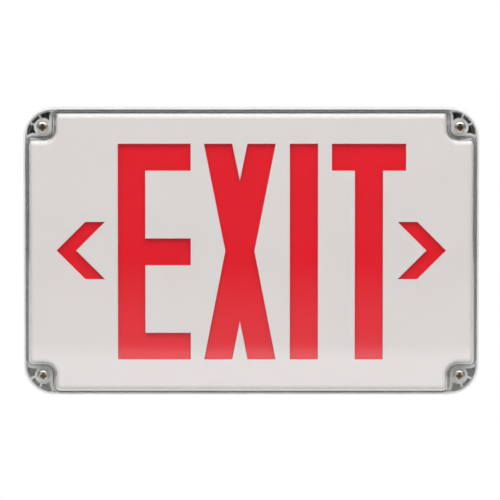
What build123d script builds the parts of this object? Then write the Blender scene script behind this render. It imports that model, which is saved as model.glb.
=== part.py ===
from build123d import *
import math
import os

# Sealed emergency exit light for wet places, fixed flat to a wall.
#
# Millimetres. X runs across the sign and Z up. The wall is the plane y = 0, and the sign
# stands out from it towards -Y. The origin is the middle of the rear wire hole, on the wall.
# A depth is a distance out from the wall. An inset is a distance in from the outer edge of
# the housing's rim, seen from the front.

# Overall size: the margins run from the legend out to the edge of the housing's rim
depth = 70.0
side_margin = 23.5
legend_margin = 25.3
corner_radius = 21.0

# Rear housing
back_wall = 3.0
draft = 1.0
flange_length = 12.0
flange_step = 1.4
back_edge_radius = 1.6
lip = 1.3
rim_edge_radius = 0.5
groove_width = 2.6
groove_length = 6.5
inner_lip = 1.5
inner_lip_drop = 3.6
wiring_room = 37.0

# Corner screws, and the seal line that steps in round them
screw_inset = 13.7
notch = 18.8
seal_convex = 7.1
seal_concave = 4.0
smallest_radius = 0.8
pocket_wall = 2.6
pocket_seal_wall = 0.6
pocket_floor = 20.0
column_radius = 6.3
rib_thickness = 1.4
rib_spread = 30.0
screw_radius = 2.0
screw_length = 22.0
screw_head_radius = 4.2
screw_head_height = 2.6
screw_clearance = 0.25
cross_width = 1.9
cross_length = 5.6
cross_sink = 1.7
insert_radius = 2.8
insert_length = 9.0
thread_clearance = 0.05

# Gasket and clear cover
cover_rise = 12.0
gasket_thickness = 3.0
gasket_clearance = 0.1
gasket_gap = 0.05
ear_gap = 0.3
cover_clearance = 0.8
cover_wall = 2.2
panel_thickness = 2.5
cover_edge_radius = 4.3
ear_thickness = 5.0
ear_edge_radius = 0.8
boss_radius = 5.9
boss_rise = 2.0

# Stencil plate
plate_gap = 1.0
plate_thickness = 2.5
plate_clearance = 0.3
plate_edge_radius = 3.0
plate_edge_bevel = 0.3
skirt_wall = 1.5
stake_radius = 1.5
stake_head_radius = 2.6
stake_head_height = 0.8
stake_spacing_x = 100.0
stake_inset = 15.2

# Legend: one word between two arrows, cut through the plate
letter_height = 152.4
bar_stroke = 19.05
upright_stroke = 19.75
e_upright = 19.3
e_width = 51.25
x_width = 50.4
t_width = 52.1
x_arm = 19.8
x_waist = 20.4
x_vee = 26.6
x_rise = 0.6
letter_gaps = (9.4, 10.0, 9.8)
word_offset = 7.45
word_rise = 0.3
chevron_gap = 9.05
chevron_height = 40.5
chevron_width = 13.9
chevron_rise = 1.2

# Red diffuser and the reflector tray behind it
diffuser_thickness = 2.0
diffuser_inset = 7.0
stake_clearance = 0.1
tray_inset = 8.5
tray_wall = 1.5
tray_radius = 1.2
tray_post_spacing = 84.0
tray_post_inset = 21.5
tray_post_radius = 4.0

# Light strips on the tray's upper and lower walls
strip_end_gap = 16.8
strip_width = 8.0
strip_thickness = 1.6
chip_count = 12
chip_end_gap = 16.0
chip_length = 3.0
chip_width = 2.8
chip_height = 1.2

# Small screws, for the tray, the boards and the straps
small_radius = 1.4
small_length = 8.0
small_head_radius = 2.75
small_head_height = 1.8
small_clearance = 0.15
pilot_depth = 9.0

# Ways into the housing
wire_hole_radius = 11.1
wire_boss_radius = 15.0
wire_boss_height = 3.0
box_screw_spacing = 88.9
box_screw_radius = 2.4
wall_screw_side_inset = 40.6
wall_screw_end_inset = 31.5
wall_screw_radius = 2.6
hole_boss_wall = 3.0
hole_boss_height = 2.0
wall_gasket_width = 128.0
wall_gasket_height = 62.0
wall_gasket_band = 4.0
wall_gasket_thickness = 1.2
wall_gasket_radius = 14.0

# Conduit entries and their plugs
conduit_depth = 21.0
conduit_radius = 10.4
hub_radius = 14.0
hub_length = 12.0
plug_recess_radius = 12.6
plug_recess = 2.6
plug_clearance = 0.1
plug_head_thickness = 1.5
plug_length = 10.0
plug_socket_flats = 9.5
plug_socket_depth = 5.0
plug_seal_thickness = 0.8

# Push-to-test switch in the bottom wall
switch_inset = 90.6
switch_depth = 28.0
switch_flange_radius = 8.0
switch_flange_thickness = 1.5
switch_seal_thickness = 0.7
switch_recess_clearance = 0.3
switch_pad = 1.6
bushing_radius = 6.0
bushing_clearance = 0.1
bushing_length = 12.0
switch_nut_flats = 16.0
switch_nut_thickness = 3.0
switch_block = 14.0
switch_block_length = 10.0
switch_cap_thickness = 2.0
switch_chamber_radius = 4.9
terminal_length = 5.0
terminal_width = 2.2
terminal_thickness = 0.6
button_radius = 3.25
button_clearance = 0.05
button_proud = 2.4
button_travel = 2.0
button_edge_radius = 0.6
collar_radius = 4.6
collar_thickness = 1.8
collar_gap = 0.2
spring_radius = 3.4
spring_wire = 0.7
spring_turns = 3.5
spring_gap = 0.3

# Charge indicator beside it
pilot_spacing = 25.0
pilot_lens_radius = 3.5
pilot_flange_radius = 4.6
pilot_flange_thickness = 1.0
pilot_recess = 1.2
pilot_dome = 1.4
pilot_clearance = 0.1
pilot_lens_length = 9.0
pilot_dome_radius = 2.9
pilot_edge_radius = 1.1
pilot_led_radius = 2.5
pilot_led_length = 8.6

# Control board in the left bay, and what stands on it, from the board's middle
bay_inset = 62.6
board_width = 84.0
board_height = 76.0
board_thickness = 1.6
board_lift = 8.0
board_post_radius = 3.5
board_hole_inset = 5.0
capacitor_radius = 8.0
capacitor_length = 20.0
capacitor_spots = ((-20.0, 20.0), (0.0, 20.0))
relay_size = (19.0, 15.5)
relay_height = 15.0
relay_spot = (24.0, 18.0)
terminal_spot = (0.0, -31.5)
terminal_poles = 5
terminal_pitch = 5.08
terminal_block_depth = 10.0
terminal_block_height = 12.0
heat_fin_count = 7
heat_sink_spot = (0.0, -6.0)
heat_sink_width = 40.0
heat_sink_height = 18.0
heat_sink_length = 14.0
heat_sink_base = 2.5
heat_fin_thickness = 1.4

# Transformer and battery pack in the right bay, and the sheet straps over them
transformer_z = 40.0
core_width = 46.0
core_height = 38.0
core_depth = 16.0
winding_width = 28.0
winding_height = 26.0
winding_proud = 5.0
battery_z = -36.0
cell_radius = 7.25
cell_length = 50.0
cell_count = 3
strap_sheet = 1.2
strap_band = 12.0
strap_foot = 9.0
strap_clearance = 0.2
strap_post_radius = 3.5
strap_post_height = 7.0

# Front-view sizes that follow from the sizes above
letter_widths = (e_width, x_width, upright_stroke, t_width)
word_width = sum(letter_widths) + sum(letter_gaps)
chevron_tip = word_width / 2 - word_offset + chevron_gap + chevron_height / 2 + chevron_width
width = 2 * (chevron_tip + side_margin)
height = letter_height + 2 * legend_margin
board_x = -(width / 2 - bay_inset)
power_x = width / 2 - bay_inset
switch_x = width / 2 - switch_inset
pilot_x = switch_x + pilot_spacing
strip_length = width - 2 * (tray_inset + tray_wall + notch + strip_end_gap)
chip_pitch = (strip_length - 2 * chip_end_gap) / (chip_count - 1)

# Depths that follow from the sizes above
rim_depth = depth - cover_rise
flange_back = rim_depth - flange_length
groove_floor = rim_depth - groove_length
inner_lip_top = rim_depth - inner_lip_drop
cover_back = groove_floor + gasket_thickness + gasket_gap
ear_seat = cover_back - ear_gap
ear_front = cover_back + ear_thickness
boss_front = ear_front + boss_rise
plate_front = depth - panel_thickness - plate_gap
plate_back = plate_front - plate_thickness
diffuser_back = plate_back - diffuser_thickness
tray_back = back_wall + wiring_room
strip_middle = (tray_back + tray_wall + diffuser_back) / 2
board_back = back_wall + board_lift
board_front = board_back + board_thickness

# Insets that follow from the sizes above
cavity_inset = lip + groove_width + inner_lip
cover_inset = lip + cover_clearance
plate_inset = cover_inset + cover_wall + plate_clearance

# Front-view places that repeat
screw_spots = GridLocations(width - 2 * screw_inset, height - 2 * screw_inset, 2, 2)
wall_screw_spots = GridLocations(
    width - 2 * wall_screw_side_inset, height - 2 * wall_screw_end_inset, 2, 2
)
box_screw_spots = GridLocations(box_screw_spacing, 1, 2, 1)
tray_post_spots = GridLocations(tray_post_spacing, height - 2 * tray_post_inset, 2, 2)
stake_spots = GridLocations(stake_spacing_x, height - 2 * stake_inset, 3, 2)
board_spots = Pos(board_x) * GridLocations(
    board_width - 2 * board_hole_inset, board_height - 2 * board_hole_inset, 2, 2
)


def on_wall(sketch, start, end):
    """Extrude a front-view sketch from one depth out to another."""
    return extrude(Plane.XZ.offset(start) * sketch, amount=end - start)


def copies(places, shape):
    """A front-view shape at each of several places."""
    return Sketch() + [place * shape for place in places]


def body_inset(at_depth):
    """How far the drafted wall behind the flange lies inside the rim's edge."""
    return flange_step + (flange_back - at_depth) * math.tan(math.radians(draft))


def edge_outline(inset):
    """The rim's rounded outline, at an inset."""
    radius = corner_radius - inset
    return RectangleRounded(width - 2 * inset, height - 2 * inset, radius)


def seal_outline(inset):
    """The seal's outline, which steps in round each corner screw, at an inset."""
    half_x = width / 2 - inset
    half_z = height / 2 - inset
    step_x = half_x - notch
    step_z = half_z - notch
    quarter = [(half_x, step_z), (step_x, step_z), (step_x, half_z)]
    points = quarter + [(-x, z) for x, z in reversed(quarter)]
    points += [(-x, -z) for x, z in points]
    convex = max(seal_convex - inset, smallest_radius)
    concave = seal_concave + inset
    outline = FilletPolyline(*points, radius=[convex, concave, convex] * 4, close=True)
    return make_face(outline)


def conduit_planes():
    """Top, left and right conduit entries, each looking out of its wall."""
    top = height / 2 - body_inset(conduit_depth)
    side = width / 2 - body_inset(conduit_depth)
    return [
        Plane(origin=(0, -conduit_depth, top), x_dir=(1, 0, 0), z_dir=(0, 0, 1)),
        Plane(origin=(-side, -conduit_depth, 0), x_dir=(0, 1, 0), z_dir=(-1, 0, 0)),
        Plane(origin=(side, -conduit_depth, 0), x_dir=(0, 1, 0), z_dir=(1, 0, 0)),
    ]


def bottom_plane(x):
    """A place on the bottom wall, looking down out of it."""
    bottom = height / 2 - body_inset(switch_depth)
    return Plane(origin=(x, -switch_depth, -bottom), x_dir=(1, 0, 0), z_dir=(0, 0, -1))


def turned(plane, radius, start, end):
    """A cylinder along a plane's normal, between two heights over the plane."""
    return extrude(plane.offset(start) * Circle(radius), amount=end - start)


def ring(plane, outer, inner, start, end):
    """A tube along a plane's normal, between two heights over the plane."""
    return extrude(plane.offset(start) * (Circle(outer) - Circle(inner)), amount=end - start)


def hexagon(flats):
    """A regular hexagon, measured across its flats."""
    return RegularPolygon(flats / math.sqrt(3), 6)


def small_screws(spots, seat):
    """Pan-head screws driven in from the front, heads on the given depth."""
    shanks = on_wall(copies(spots, Circle(small_radius)), seat - small_length, seat)
    heads = on_wall(copies(spots, Circle(small_head_radius)), seat, seat + small_head_height)
    return shanks + heads


def strap_spots(x, z, span):
    """The two screw places of a strap that crosses a block along Z."""
    return Pos(x, z) * GridLocations(1, span + 2 * strap_sheet + strap_foot, 1, 2)


def core_span():
    """How tall the transformer's core is under its strap."""
    return core_height + 2 * strap_clearance


def battery_span():
    """How tall the row of cells is under its strap."""
    return 2 * cell_radius * cell_count + 2 * strap_clearance


def corner_pockets():
    """Three cored pockets at each corner, round the screw's column and between its ribs."""
    pockets = edge_outline(pocket_wall) - seal_outline(-pocket_seal_wall)
    pockets -= copies(screw_spots, Circle(column_radius))
    reach = 2 * screw_inset
    for spot in screw_spots:
        x, z = spot.position.X, spot.position.Y
        outward = math.degrees(math.atan2(math.copysign(1, z), math.copysign(1, x)))
        for side in (-rib_spread, rib_spread):
            rib = Pos(x, z) * Rot(0, 0, outward + side)
            pockets -= rib * Pos(reach / 2, 0) * Rectangle(reach, rib_thickness)
    return pockets


def make_rear_housing():
    """Deep drafted box with a stepped flange, seal groove, cored corners and bosses."""
    back = edge_outline(body_inset(0))
    housing = extrude(Plane.XZ * back, amount=flange_back, taper=-draft)
    back_rim = housing.faces().sort_by(Axis.Y)[-1].edges()
    housing = fillet(back_rim, back_edge_radius)
    flange = on_wall(edge_outline(0), flange_back, rim_depth)
    housing += fillet(flange.faces().sort_by(Axis.Y)[0].edges(), rim_edge_radius)

    cavity = seal_outline(cavity_inset)
    housing -= on_wall(cavity, back_wall, rim_depth)
    housing -= on_wall(seal_outline(lip) - cavity, inner_lip_top, rim_depth)
    groove = seal_outline(lip) - seal_outline(lip + groove_width)
    housing -= on_wall(groove, groove_floor, rim_depth)

    ear_recess = edge_outline(lip) - seal_outline(lip)
    housing -= on_wall(ear_recess, ear_seat, rim_depth)
    housing -= on_wall(corner_pockets(), pocket_floor, rim_depth)
    insert_hole = copies(screw_spots, Circle(insert_radius))
    housing -= on_wall(insert_hole, cover_back - insert_length, ear_seat)
    tip_hole = copies(screw_spots, Circle(screw_radius + screw_clearance))
    housing -= on_wall(tip_hole, boss_front - screw_length - 1, ear_seat)

    for spots, radius, top in (
        (tray_post_spots, tray_post_radius, tray_back),
        (board_spots, board_post_radius, board_back),
        (strap_spots(power_x, transformer_z, core_span()), strap_post_radius,
         back_wall + strap_post_height),
        (strap_spots(power_x, battery_z, battery_span()), strap_post_radius,
         back_wall + strap_post_height),
    ):
        hole_end = max(top - pilot_depth, back_wall / 2)
        housing += on_wall(copies(spots, Circle(radius)), back_wall, top)
        housing -= on_wall(copies(spots, Circle(small_radius + thread_clearance)), hole_end, top)

    housing += on_wall(Circle(wire_boss_radius), back_wall, back_wall + wire_boss_height)
    housing -= on_wall(Circle(wire_hole_radius), 0, back_wall + wire_boss_height)
    for spots, radius in ((box_screw_spots, box_screw_radius), (wall_screw_spots, wall_screw_radius)):
        boss_top = back_wall + hole_boss_height
        housing += on_wall(copies(spots, Circle(radius + hole_boss_wall)), back_wall, boss_top)
        housing -= on_wall(copies(spots, Circle(radius)), 0, boss_top)
    housing -= make_wall_gasket()

    for entry in conduit_planes():
        inner_face = -(cavity_inset - body_inset(conduit_depth))
        housing += turned(entry, hub_radius, inner_face - hub_length, inner_face)
        housing -= turned(entry, conduit_radius, inner_face - hub_length, 1)
        housing -= turned(entry, plug_recess_radius, -plug_recess, 1)

    place = bottom_plane(switch_x)
    inner_face = -(cavity_inset - body_inset(switch_depth))
    recess = switch_flange_thickness + switch_seal_thickness
    pad_radius = switch_flange_radius + switch_recess_clearance + lip
    housing += turned(place, pad_radius, inner_face - switch_pad, inner_face)
    housing -= turned(place, switch_flange_radius + switch_recess_clearance, -recess, 1)
    housing -= turned(place, bushing_radius + bushing_clearance, inner_face - switch_pad, 1)

    place = bottom_plane(pilot_x)
    housing -= turned(place, pilot_flange_radius + pilot_clearance, -pilot_recess, 1)
    housing -= turned(place, pilot_lens_radius + pilot_clearance, inner_face - 1, 1)
    return housing


def make_wall_gasket():
    """Flat foam ring let into the back, round the wire hole and the box screws."""
    outer = RectangleRounded(wall_gasket_width, wall_gasket_height, wall_gasket_radius)
    inner = RectangleRounded(
        wall_gasket_width - 2 * wall_gasket_band,
        wall_gasket_height - 2 * wall_gasket_band,
        wall_gasket_radius - wall_gasket_band,
    )
    return on_wall(outer - inner, 0, wall_gasket_thickness)


def make_housing_gasket():
    """Soft ring on the floor of the housing's seal groove."""
    outer = seal_outline(lip + gasket_clearance)
    inner = seal_outline(lip + groove_width - gasket_clearance)
    return on_wall(outer - inner, groove_floor, groove_floor + gasket_thickness)


def make_clear_cover():
    """Clear dome with a flat screw ear and a low boss at each corner."""
    inside = on_wall(seal_outline(cover_inset + cover_wall), cover_back, depth - panel_thickness)
    inside_radius = max(cover_edge_radius - cover_wall, smallest_radius)
    inside = fillet(inside.faces().sort_by(Axis.Y)[0].edges(), inside_radius)
    dome = on_wall(seal_outline(cover_inset), cover_back, depth)
    dome = fillet(dome.faces().sort_by(Axis.Y)[0].edges(), cover_edge_radius)
    ears = on_wall(edge_outline(cover_inset), cover_back, ear_front)
    ears = fillet(ears.faces().sort_by(Axis.Y)[0].edges(), ear_edge_radius)

    cover = dome + ears
    cover += on_wall(copies(screw_spots, Circle(boss_radius)), cover_back, boss_front)
    cover -= inside
    screw_hole = Circle(screw_radius + screw_clearance)
    cover -= on_wall(copies(screw_spots, screw_hole), cover_back, boss_front)
    return cover


def make_cover_screws():
    """Four pan-head screws with a cross recess, down through the cover's bosses."""
    shanks = on_wall(copies(screw_spots, Circle(screw_radius)), boss_front - screw_length, boss_front)
    top = boss_front + screw_head_height
    heads = on_wall(copies(screw_spots, Circle(screw_head_radius)), boss_front, top)
    tops = heads.faces().filter_by(Plane.XZ).group_by(Axis.Y)[0]
    heads = fillet(tops.edges(), screw_head_height * 0.6)
    cross = Rectangle(cross_length, cross_width) + Rectangle(cross_width, cross_length)
    return heads + shanks - on_wall(copies(screw_spots, cross), top - cross_sink, top)


def make_screw_inserts():
    """Brass bushes pressed into the corner columns, a little proud, to stop the cover's ears."""
    section = Circle(insert_radius) - Circle(screw_radius + thread_clearance)
    return on_wall(copies(screw_spots, section), cover_back - insert_length, cover_back)


def letter_e():
    """E, from its left edge, as one upright and three arms."""
    arm = Pos(e_width / 2, 0) * Rectangle(e_width, bar_stroke)
    reach = (letter_height - bar_stroke) / 2
    upright = Pos(e_upright / 2, 0) * Rectangle(e_upright, letter_height)
    return upright + arm + Pos(0, reach) * arm + Pos(0, -reach) * arm


def letter_x():
    """X, from its left edge, with straight sides from its ends to its waist."""
    half = x_width / 2
    top = letter_height / 2
    fork = top - x_vee
    upper = [(-half, top), (-half + x_arm, top), (0, x_rise + fork), (half - x_arm, top), (half, top)]
    lower = [(half, -top), (half - x_arm, -top), (0, x_rise - fork), (-half + x_arm, -top), (-half, -top)]
    outline = Polyline(*upper, (x_waist / 2, x_rise), *lower, (-x_waist / 2, x_rise), close=True)
    return Pos(half, 0) * make_face(outline)


def letter_i():
    """I, from its left edge."""
    return Pos(upright_stroke / 2, 0) * Rectangle(upright_stroke, letter_height)


def letter_t():
    """T, from its left edge."""
    middle = Pos(t_width / 2, 0)
    bar = Pos(0, (letter_height - bar_stroke) / 2) * Rectangle(t_width, bar_stroke)
    return middle * (bar + Rectangle(upright_stroke, letter_height))


def chevron(side):
    """One 45 degree direction arrow, its tip out to the side."""
    rise = chevron_height / 2
    tip = chevron_tip
    points = [(tip, 0), (tip - rise, rise), (tip - rise - chevron_width, rise),
              (tip - chevron_width, 0), (tip - rise - chevron_width, -rise), (tip - rise, -rise)]
    return make_face(Polyline(*[(side * x, z + chevron_rise) for x, z in points], close=True))


def legend():
    """The mandatory word and its two arrows, all cut right through the plate."""
    letters = (letter_e(), letter_x(), letter_i(), letter_t())
    left = word_offset - word_width / 2
    word = []
    for letter, size, gap in zip(letters, letter_widths, letter_gaps + (0,)):
        word.append(Pos(left, word_rise) * letter)
        left += size + gap
    return word + [chevron(-1), chevron(1)]


def make_stencil_plate():
    """White faceplate with the word and arrows cut out, a skirt, and heat stakes behind."""
    plate = on_wall(seal_outline(plate_inset), inner_lip_top, plate_front)
    front_rim = plate.faces().sort_by(Axis.Y)[0].edges()
    plate = fillet(front_rim, plate_edge_radius)
    plate -= on_wall(seal_outline(plate_inset + skirt_wall), inner_lip_top, plate_back)
    for shape in legend():
        plate -= on_wall(shape, plate_back, plate_front)
    cut_edges = [wire.edges() for wire in plate.faces().sort_by(Axis.Y)[0].inner_wires()]
    plate = chamfer(sum(cut_edges, ShapeList()), plate_edge_bevel)
    plate += on_wall(copies(stake_spots, Circle(stake_radius)), diffuser_back, plate_back)
    stake_head = diffuser_back - stake_head_height
    plate += on_wall(copies(stake_spots, Circle(stake_head_radius)), stake_head, diffuser_back)
    return plate


def make_red_diffuser():
    """Flat red sheet behind the stencil, held on its stakes."""
    sheet = seal_outline(diffuser_inset)
    sheet -= copies(stake_spots, Circle(stake_radius + stake_clearance))
    return on_wall(sheet, diffuser_back, plate_back)


def make_reflector_tray():
    """White open tray that carries the light strips and closes off the wiring."""
    tray = on_wall(seal_outline(tray_inset), tray_back, diffuser_back)
    tray = fillet(tray.faces().sort_by(Axis.Y)[-1].edges(), tray_radius)
    tray -= on_wall(seal_outline(tray_inset + tray_wall), tray_back + tray_wall, diffuser_back)
    hole = Circle(small_radius + small_clearance)
    return tray - on_wall(copies(tray_post_spots, hole), tray_back, tray_back + tray_wall)


def strip_face():
    """Height over the middle at which a light strip's chips are mounted."""
    return height / 2 - tray_inset - tray_wall - strip_thickness


def make_light_strip(side):
    """Long narrow board stuck to the tray's upper (1) or lower (-1) wall."""
    centre = side * (strip_face() + strip_thickness / 2)
    return Pos(0, -strip_middle, centre) * Box(strip_length, strip_width, strip_thickness)


def make_strip_chips():
    """Surface-mounted light chips along both strips, facing into the tray."""
    chips = []
    for side in (1, -1):
        centre = side * (strip_face() - chip_height / 2)
        for index in range(chip_count):
            x = (index - (chip_count - 1) / 2) * chip_pitch
            chips.append(Pos(x, -strip_middle, centre) * Box(chip_length, chip_width, chip_height))
    return Compound(chips)


def make_conduit_plugs():
    """Screwed plugs with hexagon sockets, sunk just below the walls."""
    plugs = []
    head_back = -plug_recess + plug_seal_thickness
    head_front = head_back + plug_head_thickness
    for entry in conduit_planes():
        plug = turned(entry, plug_recess_radius - plug_clearance, head_back, head_front)
        plug += turned(entry, conduit_radius - plug_clearance, head_front - plug_length, head_back)
        socket = entry.offset(head_front - plug_socket_depth) * hexagon(plug_socket_flats)
        plugs.append(plug - extrude(socket, amount=plug_socket_depth))
    return Compound(plugs)


def make_plug_seals():
    """Flat rings under the plugs' heads."""
    seals = []
    for entry in conduit_planes():
        back = -plug_recess
        seals.append(ring(entry, plug_recess_radius - plug_clearance, conduit_radius,
                          back, back + plug_seal_thickness))
    return Compound(seals)


def switch_levels():
    """Heights below the bottom wall's face: flange back, nut seat, block, cap, cap end."""
    flange_seat = -switch_flange_thickness
    nut_seat = -(cavity_inset - body_inset(switch_depth)) - switch_pad
    block = -bushing_length
    cap = block - switch_block_length
    return flange_seat, nut_seat, block, cap, cap - switch_cap_thickness


def make_test_switch_body():
    """Flanged bushing and square block, bored through for the plunger."""
    place = bottom_plane(switch_x)
    flange_seat, nut_seat, block, cap, cap_end = switch_levels()
    body = turned(place, switch_flange_radius, flange_seat, 0)
    body += turned(place, bushing_radius, block, flange_seat)
    body += extrude(place.offset(cap) * RectangleRounded(switch_block, switch_block, 1.5),
                    amount=block - cap)
    body -= turned(place, button_radius + button_clearance, block, 0)
    return body - turned(place, switch_chamber_radius, cap, block)


def make_switch_cap():
    """Closed end of the switch, with two solder terminals."""
    place = bottom_plane(switch_x)
    cap, cap_end = switch_levels()[3:]
    lid = extrude(place.offset(cap_end) * RectangleRounded(switch_block, switch_block, 1.5),
                  amount=cap - cap_end)
    blades = copies(GridLocations(switch_block / 2, 1, 2, 1), Rectangle(terminal_thickness, terminal_width))
    return lid + extrude(place.offset(cap_end - terminal_length) * blades, amount=terminal_length)


def make_switch_seal():
    """Flat ring under the switch's flange."""
    place = bottom_plane(switch_x)
    front = switch_levels()[0]
    return ring(place, switch_flange_radius, bushing_radius + bushing_clearance,
                front - switch_seal_thickness, front)


def make_switch_nut():
    """Hexagon nut on the bushing, inside the wall."""
    place = bottom_plane(switch_x)
    seat = switch_levels()[1]
    section = hexagon(switch_nut_flats) - Circle(bushing_radius + thread_clearance)
    return extrude(place.offset(seat - switch_nut_thickness) * section, amount=switch_nut_thickness)


def make_test_button():
    """Round plunger with a retaining collar inside the block."""
    place = bottom_plane(switch_x)
    shoulder = switch_levels()[2] - collar_gap
    stem = turned(place, button_radius, shoulder, button_proud)
    stem = fillet(stem.edges().sort_by(Axis.Z)[0], button_edge_radius)
    return stem + turned(place, collar_radius, shoulder - collar_thickness, shoulder)


def make_button_spring():
    """Open coil spring between the plunger's collar and the cap."""
    shoulder, cap = switch_levels()[2:4]
    top = shoulder - collar_gap - collar_thickness - spring_gap - spring_wire / 2
    end = cap + spring_gap + spring_wire / 2
    place = bottom_plane(switch_x)
    length = top - end
    path = Helix(pitch=length / spring_turns, height=length, radius=spring_radius)
    wire = Plane(origin=path @ 0, z_dir=path % 0) * RegularPolygon(spring_wire / 2, 6)
    coil = sweep(wire, path=path)
    return place.offset(end) * coil


def make_pilot_lens():
    """Small domed lens, hollow from inside, set in the bottom wall."""
    place = bottom_plane(pilot_x)
    seat = -pilot_recess
    lens = turned(place, pilot_flange_radius, seat, seat + pilot_flange_thickness)
    lens += turned(place, pilot_lens_radius, seat - pilot_lens_length, seat)
    lens += turned(place, pilot_dome_radius, seat, seat + pilot_flange_thickness + pilot_dome)
    lens = fillet(lens.edges().sort_by(Axis.Z)[0], pilot_edge_radius)
    hollow = pilot_led_radius + pilot_clearance
    return lens - turned(place, hollow, seat - pilot_lens_length, seat)


def make_pilot_led():
    """Round light-emitting diode pushed up inside the lens."""
    place = bottom_plane(pilot_x)
    tip = -pilot_recess - pilot_clearance
    led = turned(place, pilot_led_radius, tip - pilot_led_length, tip)
    led = fillet(led.edges().sort_by(Axis.Z)[0], pilot_led_radius * 0.9)
    leads = copies(GridLocations(2.54, 1, 2, 1), Rectangle(0.5, 0.5))
    return led + extrude(place.offset(tip - pilot_led_length - 6) * leads, amount=6)


def make_control_board():
    """Circuit board on four posts, with its screw holes."""
    board = Pos(board_x) * Rectangle(board_width, board_height)
    board -= copies(board_spots, Circle(small_radius + small_clearance))
    return on_wall(board, board_back, board_front)


def on_board(spot):
    """A front-view place, given from the board's middle."""
    return Pos(board_x, 0) * Pos(*spot)


def make_capacitors():
    """Two upright can capacitors with a rolled groove near the foot."""
    cans = []
    groove = Circle(capacitor_radius) - Circle(capacitor_radius - 0.6)
    for spot in capacitor_spots:
        place = on_board(spot)
        can = on_wall(place * Circle(capacitor_radius), board_front, board_front + capacitor_length)
        can = fillet(can.edges().sort_by(Axis.Y)[0], 1.0)
        cans.append(can - on_wall(place * groove, board_front + 2, board_front + 3.2))
    return Compound(cans)


def make_relay():
    """Changeover relay in its sealed box."""
    section = on_board(relay_spot) * Rectangle(*relay_size)
    box = on_wall(section, board_front, board_front + relay_height)
    return fillet(box.faces().sort_by(Axis.Y)[0].edges(), 0.8)


def make_terminal_block():
    """Row of screw terminals along the board's lower edge."""
    length = terminal_poles * terminal_pitch
    spot = on_board(terminal_spot)
    block = on_wall(spot * Rectangle(length, terminal_block_depth), board_front,
                    board_front + terminal_block_height)
    top = board_front + terminal_block_height
    poles = spot * GridLocations(terminal_pitch, 1, terminal_poles, 1)
    block -= on_wall(copies(poles, Circle(1.9)), top - 5, top)
    edge = terminal_spot[1] - terminal_block_depth / 2
    for pole in poles:
        entry = Plane(origin=(pole.position.X, -board_front - 3.2, edge), z_dir=(0, 0, -1))
        block -= extrude(entry * Rectangle(3.2, 3.6), amount=-6)
    return block


def make_heat_sink():
    """Finned aluminium sink over the charger's power devices."""
    spot = on_board(heat_sink_spot)
    base_front = board_front + heat_sink_base
    sink = on_wall(spot * Rectangle(heat_sink_width, heat_sink_height), board_front, base_front)
    pitch = (heat_sink_width - heat_fin_thickness) / (heat_fin_count - 1)
    fin = Rectangle(heat_fin_thickness, heat_sink_height)
    fins = spot * copies(GridLocations(pitch, 1, heat_fin_count, 1), fin)
    return sink + on_wall(fins, base_front, board_front + heat_sink_length)


def make_transformer_core():
    """Stack of core plates with two windows for the coil."""
    spot = Pos(power_x, transformer_z)
    limb = (core_width - winding_width) / 2
    window = (winding_width - core_width / 3) / 2
    core = spot * Rectangle(core_width, core_height)
    opening = Rectangle(window, winding_height)
    for side in (-1, 1):
        core -= spot * Pos(side * (core_width / 2 - limb - window / 2), 0) * opening
    front = back_wall + winding_proud
    return on_wall(core, front, front + core_depth)


def make_transformer_winding():
    """Coil on its bobbin, round the core's middle limb."""
    spot = Pos(power_x, transformer_z)
    inner = core_width / 3
    front = back_wall + winding_proud
    coil = on_wall(spot * RectangleRounded(winding_width, winding_height, 3), back_wall,
                   front + core_depth + winding_proud)
    coil -= on_wall(spot * Rectangle(inner, core_height), front, front + core_depth)
    return coil


def make_strap(x, z, span, rise):
    """Bent sheet strap over a block, its two feet screwed to posts."""
    floor = strap_post_height
    outer = span + 2 * strap_sheet
    profile = Pos(0, (rise + strap_sheet + floor) / 2) * Rectangle(outer, rise + strap_sheet - floor)
    profile += Pos(0, floor + strap_sheet / 2) * Rectangle(outer + 2 * strap_foot, strap_sheet)
    profile -= Pos(0, rise / 2) * Rectangle(span, rise)
    band = Plane(origin=(x - strap_band / 2, -back_wall, z), x_dir=(0, 0, 1), z_dir=(1, 0, 0))
    strap = extrude(band * profile, amount=strap_band)
    top = back_wall + floor + strap_sheet
    hole = copies(strap_spots(x, z, span), Circle(small_radius + small_clearance))
    return strap - on_wall(hole, top - strap_sheet, top)


def make_transformer_strap():
    """Strap that holds the transformer's core down."""
    rise = 2 * winding_proud + core_depth + strap_clearance
    return make_strap(power_x, transformer_z, core_span(), rise)


def make_battery_strap():
    """Strap that holds the battery pack down."""
    return make_strap(power_x, battery_z, battery_span(), 2 * cell_radius + strap_clearance)


def make_battery_pack():
    """Three cells side by side in one shrink sleeve."""
    section = Sketch()
    for place in GridLocations(2 * cell_radius, 1, cell_count, 1):
        section += place * Circle(cell_radius)
    section += Rectangle(2 * cell_radius * (cell_count - 1), cell_radius)
    side = Plane(origin=(power_x - cell_length / 2, -back_wall - cell_radius, battery_z),
                 x_dir=(0, 0, 1), z_dir=(1, 0, 0))
    return extrude(side * section, amount=cell_length)


def make_strap_screws():
    """Screws through the feet of both straps."""
    seat = back_wall + strap_post_height + strap_sheet
    places = strap_spots(power_x, transformer_z, core_span())
    screws = small_screws(places, seat)
    return screws + small_screws(strap_spots(power_x, battery_z, battery_span()), seat)


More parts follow.
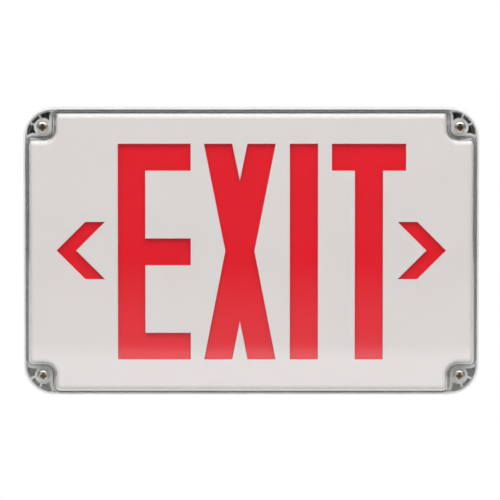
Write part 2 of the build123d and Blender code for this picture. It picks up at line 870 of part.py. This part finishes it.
nodes = {
    "rear_housing": make_rear_housing(),
    "wall_gasket": make_wall_gasket(),
    "housing_gasket": make_housing_gasket(),
    "clear_cover": make_clear_cover(),
    "cover_screws": make_cover_screws(),
    "screw_inserts": make_screw_inserts(),
    "stencil_plate": make_stencil_plate(),
    "red_diffuser": make_red_diffuser(),
    "reflector_tray": make_reflector_tray(),
    "tray_screws": small_screws(tray_post_spots, tray_back + tray_wall),
    "upper_light_strip": make_light_strip(1),
    "lower_light_strip": make_light_strip(-1),
    "strip_chips": make_strip_chips(),
    "conduit_plugs": make_conduit_plugs(),
    "plug_seals": make_plug_seals(),
    "test_switch_body": make_test_switch_body(),
    "switch_cap": make_switch_cap(),
    "switch_seal": make_switch_seal(),
    "switch_nut": make_switch_nut(),
    "test_button": make_test_button(),
    "button_spring": make_button_spring(),
    "pilot_lens": make_pilot_lens(),
    "pilot_led": make_pilot_led(),
    "control_board": make_control_board(),
    "board_screws": small_screws(board_spots, board_front),
    "capacitors": make_capacitors(),
    "relay": make_relay(),
    "terminal_block": make_terminal_block(),
    "heat_sink": make_heat_sink(),
    "transformer_core": make_transformer_core(),
    "transformer_winding": make_transformer_winding(),
    "transformer_strap": make_transformer_strap(),
    "battery_pack": make_battery_pack(),
    "battery_strap": make_battery_strap(),
    "strap_screws": make_strap_screws(),
}

os.makedirs("parts", exist_ok=True)
for name, solid in nodes.items():
    export_step(solid, f"parts/{name}.step")
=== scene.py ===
import math

import bpy
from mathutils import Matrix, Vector


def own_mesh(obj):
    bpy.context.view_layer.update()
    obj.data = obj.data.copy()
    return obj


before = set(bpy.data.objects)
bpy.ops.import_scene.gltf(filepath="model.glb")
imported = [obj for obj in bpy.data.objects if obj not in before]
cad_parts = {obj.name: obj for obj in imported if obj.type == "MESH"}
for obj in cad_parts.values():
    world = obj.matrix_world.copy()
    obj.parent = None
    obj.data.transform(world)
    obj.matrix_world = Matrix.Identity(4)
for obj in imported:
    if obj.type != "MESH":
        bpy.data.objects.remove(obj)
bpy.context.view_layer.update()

# Everything is in metres, and in levels where 1 is white.

# Camera: long lens, a little above the sign, square on
view_distance = 3.2
view_elevation = math.radians(4.5)
view_width = 0.35195
view_target = Vector((-0.0009, -0.0665, 0.00165))
sensor_width = 36

# Cover screws: how far they stand from the middle, their fronts, and the round patch of painted
# shade in their recesses
screw_place = (0.1469, 0.0878)
screw_top = -0.06415
recess_shade_radius = 0.0022
recess_shade_start = 0.0001

# Lamp, over the sign and in front of it
lamp_place = (0.0, -1.42, 1.85)
lamp_size = (3.2, 1.4)
lamp_power = 61

# Floor. In gloss and glass it is dark at its front edge, dim as far as the second of the
# places below, bright from the third, and a little dimmer again near the sign, a painted shadow of
# the sign.
floor_height = -0.24
floor_front = -3.2
floor_size = (6, 4)
floor_colour = (0.9, 0.9, 0.9, 1)
floor_fades = (-3.14, -1.84, -1.69)
floor_dim = 0.29
sign_shadow_fade = (-1.0, -0.5)
sign_shadow_level = 0.72

# World: the light on the object, weaker from the sides, and the room that gloss and glass
# show, with its front, sides and top dimmed. Each fade is a range of the ray's direction.
world_fill = 0.47
fill_side = 0.4
side_fade = (0.25, 0.75)
side_level = 0.08
front_fade = (-0.9, -0.2)
front_level = 0.03
top_fade = (0.2, 0.7)
top_level = 0.5

# Materials: the part of the noise over which a tone changes, how far the roughness strays,
# the height of the grain, and how plastic scatters light
tone_range = (0.3, 0.7)
rough_stray = 0.15
grain_height = 0.0002
scatter_weight = 0.5
scatter_radius = (1.0, 0.95, 0.92)

# Clear plastic: light that it passes to what lies behind it, and the waves in its faces
clear_ior = 1.58
clear_passes = 0.98
clear_rough_stray = 0.5
wave_scale = 25.0
wave_height = 0.0005
wave_strength = 0.02


def linear(value):
    """One sRGB channel, 0 to 255, as a linear value."""
    c = value / 255
    return c / 12.92 if c <= 0.04045 else ((c + 0.055) / 1.055) ** 2.4


def rgb(r, g, b):
    return (linear(r), linear(g), linear(b), 1.0)


def shade(colour, change):
    return tuple(max(0.0, min(1.0, c * change)) for c in colour[:3]) + (1.0,)


class Tree:
    """The node tree of a material or world, with short calls to add and join nodes."""

    def __init__(self, owner, output="ShaderNodeOutputMaterial"):
        owner.use_nodes = True
        self.owner = owner
        self.nodes = owner.node_tree.nodes
        self.links = owner.node_tree.links
        self.nodes.clear()
        self.output = self.add(output)

    def add(self, kind, **settings):
        node = self.nodes.new(kind)
        for key, value in settings.items():
            setattr(node, key, value)
        return node

    def give(self, node, **values):
        """Sets a node's inputs. An underscore in a name stands for a space."""
        for key, value in values.items():
            node.inputs[key.replace("_", " ")].default_value = value

    def join(self, out_socket, in_socket):
        self.links.new(out_socket, in_socket)

    def calc(self, operation, *values):
        node = self.add("ShaderNodeMath", operation=operation)
        for index, value in enumerate(values):
            if isinstance(value, float):
                node.inputs[index].default_value = value
            else:
                self.join(value, node.inputs[index])
        return node.outputs["Value"]

    def ramp(self, value, ends, low, high, **settings):
        """Goes from low to high as the value goes from one end to the other."""
        node = self.add("ShaderNodeMapRange", **settings)
        self.give(node, From_Min=ends[0], From_Max=ends[1], To_Min=low, To_Max=high)
        self.join(value, node.inputs["Value"])
        return node.outputs["Result"]

    def along(self, place):
        """The X, Y and Z of a place or direction."""
        node = self.add("ShaderNodeSeparateXYZ")
        self.join(place, node.inputs["Vector"])
        return node.outputs

    def noise(self, scale, detail, roughness=0.5):
        """Noise in the object's own metres."""
        where = self.add("ShaderNodeTexCoord")
        node = self.add("ShaderNodeTexNoise")
        self.give(node, Scale=scale, Detail=detail, Roughness=roughness)
        self.join(where.outputs["Object"], node.inputs["Vector"])
        return node.outputs["Fac"]

    def tones(self, fac, dark, light):
        node = self.add("ShaderNodeValToRGB")
        for element, place, colour in zip(node.color_ramp.elements, tone_range, (dark, light)):
            element.position = place
            element.color = colour
        self.join(fac, node.inputs["Fac"])
        return node.outputs["Color"]

    def bump(self, height, strength, distance):
        node = self.add("ShaderNodeBump")
        self.give(node, Strength=strength, Distance=distance)
        self.join(height, node.inputs["Height"])
        return node.outputs["Normal"]

    def any_ray(self, *kinds):
        """1 for a ray of one of these kinds."""
        rays = self.add("ShaderNodeLightPath").outputs
        found = rays[kinds[0]]
        for kind in kinds[1:]:
            found = self.calc("MAXIMUM", found, rays[kind])
        return found

    def mix(self, fac, shader, other):
        node = self.add("ShaderNodeMixShader")
        for index, socket in enumerate((fac, shader, other)):
            self.join(socket, node.inputs[index])
        return node.outputs["Shader"]


def surface(name, colour, roughness, vary=0.04, patch=40.0, grain=1800.0, bump=0.05, metallic=0.0,
            gloss=0.5, depth=0.0):
    """A plastic, rubber or metal whose tone, gloss and grain vary a little over it."""
    t = Tree(bpy.data.materials.new(name))
    skin = t.add("ShaderNodeBsdfPrincipled")
    t.give(skin, Metallic=metallic, Specular_IOR_Level=gloss, Subsurface_Scale=depth,
           Subsurface_Weight=scatter_weight if depth else 0.0, Subsurface_Radius=scatter_radius)
    tone = t.tones(t.noise(patch, 4.0, 0.6), shade(colour, 1 - vary), shade(colour, 1 + vary))
    t.join(tone, skin.inputs["Base Color"])
    rough = t.ramp(t.noise(patch * 3, 3.0), (0.0, 1.0), roughness * (1 - rough_stray),
                   min(1.0, roughness * (1 + rough_stray)))
    t.join(rough, skin.inputs["Roughness"])
    t.join(t.bump(t.noise(grain, 2.0), bump, grain_height), skin.inputs["Normal"])
    t.join(skin.outputs["BSDF"], t.output.inputs["Surface"])
    return t.owner


def clear_plastic(name, tint, roughness=0.03):
    """Clear moulding that lets the lamp's and the world's light through to what lies behind."""
    t = Tree(bpy.data.materials.new(name))
    skin = t.add("ShaderNodeBsdfPrincipled")
    t.give(skin, Base_Color=tint, Transmission_Weight=1.0, IOR=clear_ior)
    rough = t.ramp(t.noise(60.0, 3.0), (0.0, 1.0), roughness * (1 - clear_rough_stray),
                   roughness * (1 + clear_rough_stray))
    t.join(rough, skin.inputs["Roughness"])
    t.join(t.bump(t.noise(wave_scale, 1.0), wave_strength, wave_height), skin.inputs["Normal"])
    through = t.add("ShaderNodeBsdfTransparent")
    t.give(through, Color=shade(tint, clear_passes))
    seen = skin.outputs["BSDF"]
    for kind in ("Is Shadow Ray", "Is Diffuse Ray"):
        seen = t.mix(t.any_ray(kind), seen, through.outputs["BSDF"])
    t.join(seen, t.output.inputs["Surface"])
    return t.owner


def screw_metal(name):
    """Bright plated head, with painted dark brown shade in its recess and the shank core behind it.
    """
    t = Tree(bpy.data.materials.new(name))
    skin = t.add("ShaderNodeBsdfPrincipled")
    t.give(skin, Metallic=1.0)
    place = t.along(t.add("ShaderNodeTexCoord").outputs["Object"])
    squares = []
    for axis, centre in zip("XZ", screw_place):
        off = t.calc("SUBTRACT", t.calc("ABSOLUTE", place[axis]), centre)
        squares.append(t.calc("MULTIPLY", off, off))
    # Painted shade: within this radius of each screw and behind the head's front, the colour turns
    # dark brown
    in_recess_shade = t.calc("LESS_THAN", t.calc("ADD", *squares), recess_shade_radius ** 2)
    behind = t.calc("GREATER_THAN", place["Y"], screw_top + recess_shade_start)
    mottle = t.noise(900.0, 3.0)
    tone = t.add("ShaderNodeMix", data_type="RGBA")
    t.join(t.calc("MULTIPLY", in_recess_shade, behind), tone.inputs["Factor"])
    t.join(t.tones(mottle, rgb(224, 216, 204), rgb(240, 234, 226)), tone.inputs[6])
    # Dark brown of the painted recess shade
    t.join(t.tones(mottle, rgb(104, 89, 73), rgb(138, 120, 98)), tone.inputs[7])
    t.join(tone.outputs[2], skin.inputs["Base Color"])
    t.join(t.ramp(mottle, (0.0, 1.0), 0.25, 0.4), skin.inputs["Roughness"])
    t.join(skin.outputs["BSDF"], t.output.inputs["Surface"])
    return t.owner


rubber = surface("dark rubber", rgb(146, 141, 146), 0.7, vary=0.08, bump=0.1)
zinc = surface("zinc plate", rgb(200, 200, 196), 0.38, vary=0.08, metallic=1.0)
board_white = surface("white lacquer", rgb(235, 234, 230), 0.35, vary=0.02)
black = surface("black plastic", rgb(34, 34, 35), 0.4, vary=0.1)

dressed = {
    "rear_housing": surface("moulded housing", rgb(226, 226, 225), 0.5, vary=0.015, bump=0.08,
                            depth=0.004),
    "wall_gasket": surface("foam", rgb(48, 48, 48), 0.9, vary=0.15, grain=900.0, bump=0.6),
    "housing_gasket": rubber,
    "clear_cover": clear_plastic("clear cover", (0.98, 0.985, 0.985, 1.0)),
    "cover_screws": screw_metal("screw steel with painted recess shade"),
    "screw_inserts": surface("brass", rgb(214, 184, 110), 0.3, vary=0.06, metallic=1.0),
    "stencil_plate": surface("faceplate", rgb(223, 217, 215), 0.45, vary=0.01, bump=0.06),
    "red_diffuser": surface("red sheet", rgb(228, 20, 38), 0.4, vary=0.015, bump=0.02, gloss=0.2),
    "reflector_tray": surface("reflector", rgb(240, 240, 238), 0.3, vary=0.01),
    "tray_screws": zinc,
    "upper_light_strip": board_white,
    "lower_light_strip": board_white,
    "strip_chips": surface("chip resin", rgb(236, 220, 150), 0.3, vary=0.03),
    "conduit_plugs": surface("plug", rgb(176, 176, 174), 0.5, vary=0.02, bump=0.08),
    "plug_seals": rubber,
    "test_switch_body": black,
    "switch_cap": black,
    "switch_seal": rubber,
    "switch_nut": zinc,
    "test_button": surface("button", rgb(196, 32, 36), 0.3),
    "button_spring": surface("spring wire", rgb(180, 180, 178), 0.3, vary=0.05, metallic=1.0),
    "pilot_lens": clear_plastic("pilot lens", (0.95, 0.25, 0.22, 1.0), 0.08),
    "pilot_led": surface("diode resin", rgb(206, 60, 54), 0.2, vary=0.03),
    "control_board": surface("board lacquer", rgb(38, 92, 52), 0.35, vary=0.12, patch=220.0),
    "board_screws": zinc,
    "capacitors": surface("capacitor sleeve", rgb(36, 44, 84), 0.3, vary=0.05),
    "relay": surface("relay case", rgb(34, 78, 140), 0.3),
    "terminal_block": surface("terminal block", rgb(52, 128, 84), 0.45),
    "heat_sink": surface("extruded sink", rgb(186, 188, 190), 0.4, vary=0.05, grain=600.0,
                         metallic=1.0),
    "transformer_core": surface("core plates", rgb(96, 94, 92), 0.5, vary=0.15, grain=1400.0,
                                bump=0.3, metallic=0.8),
    "transformer_winding": surface("coil tape", rgb(226, 196, 84), 0.35),
    "transformer_strap": zinc,
    "battery_pack": surface("battery sleeve", rgb(38, 104, 84), 0.3, vary=0.05),
    "battery_strap": zinc,
    "strap_screws": zinc,
}
for name, material in dressed.items():
    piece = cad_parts[name]
    piece.data.materials.clear()
    piece.data.materials.append(material)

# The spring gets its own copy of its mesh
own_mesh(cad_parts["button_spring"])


def make_world():
    """White backdrop, even light, and a dimmed room for gloss and glass."""
    world = bpy.data.worlds.new("studio")
    bpy.context.scene.world = world
    t = Tree(world, "ShaderNodeOutputWorld")

    def backdrop():
        node = t.add("ShaderNodeBackground")
        t.give(node, Color=(1, 1, 1, 1), Strength=1.0)
        return node

    way = t.along(t.add("ShaderNodeTexCoord").outputs["Generated"])
    across = t.calc("ABSOLUTE", way["X"])
    level = t.calc("MULTIPLY", t.ramp(way["Y"], front_fade, front_level, 1.0),
                   t.ramp(across, side_fade, 1.0, side_level))
    level = t.calc("MULTIPLY", level, t.ramp(way["Z"], top_fade, 1.0, top_level))
    room = backdrop()
    t.join(level, room.inputs["Strength"])

    fill = backdrop()
    t.join(t.ramp(across, side_fade, world_fill, world_fill * fill_side), fill.inputs["Strength"])
    lit = t.mix(t.any_ray("Is Glossy Ray", "Is Transmission Ray"), fill.outputs["Background"],
                room.outputs["Background"])
    lit = t.mix(t.any_ray("Is Camera Ray"), lit, backdrop().outputs["Background"])
    t.join(lit, t.output.inputs["Surface"])


def make_floor():
    """Plain floor, lit by the studio, that is white to the camera and graded in gloss and glass,
    with a painted shadow of the sign.
    """
    bpy.ops.mesh.primitive_plane_add(size=1)
    floor = bpy.context.object
    floor.name = "floor"
    floor.scale = (*floor_size, 1)
    floor.location = (0, floor_front + floor_size[1] / 2, floor_height)
    t = Tree(bpy.data.materials.new("floor"))
    skin = t.add("ShaderNodeBsdfDiffuse")
    t.give(skin, Color=floor_colour)
    depth = t.along(t.add("ShaderNodeNewGeometry").outputs["Position"])["Y"]
    smooth = {"interpolation_type": "SMOOTHSTEP"}
    level = t.calc("ADD", t.ramp(depth, floor_fades[:2], 0.0, floor_dim, **smooth),
                   t.ramp(depth, floor_fades[1:], 0.0, 1 - floor_dim, **smooth))
    # Painted shadow of the sign: the glow is dimmed near the sign
    level = t.calc("MULTIPLY", level, t.ramp(depth, sign_shadow_fade, 1.0, sign_shadow_level, **smooth))
    glow = t.add("ShaderNodeEmission")
    t.join(t.calc("MAXIMUM", level, t.any_ray("Is Camera Ray")), glow.inputs["Strength"])
    shown = t.any_ray("Is Camera Ray", "Is Glossy Ray", "Is Transmission Ray")
    t.join(t.mix(shown, skin.outputs["BSDF"], glow.outputs["Emission"]), t.output.inputs["Surface"])
    floor.data.materials.append(t.owner)


def make_camera():
    data = bpy.data.cameras.new("camera")
    data.sensor_width = sensor_width
    data.lens = sensor_width * view_distance / view_width
    data.clip_end = 50
    camera = bpy.data.objects.new("camera", data)
    back = Vector((0, -math.cos(view_elevation), math.sin(view_elevation)))
    camera.location = view_target + back * view_distance
    camera.rotation_euler = (-back).to_track_quat("-Z", "Y").to_euler()
    bpy.context.scene.collection.objects.link(camera)
    bpy.context.scene.camera = camera


def make_lamp():
    """Soft rectangular lamp that points at the origin."""
    data = bpy.data.lights.new("overhead", "AREA")
    data.shape = "RECTANGLE"
    data.size, data.size_y = lamp_size
    data.energy = lamp_power
    lamp = bpy.data.objects.new("overhead", data)
    lamp.location = lamp_place
    lamp.rotation_euler = (-Vector(lamp_place)).to_track_quat("-Z", "Y").to_euler()
    bpy.context.scene.collection.objects.link(lamp)


make_world()
make_floor()
make_camera()
make_lamp()

bpy.context.scene.view_settings.view_transform = "Standard"
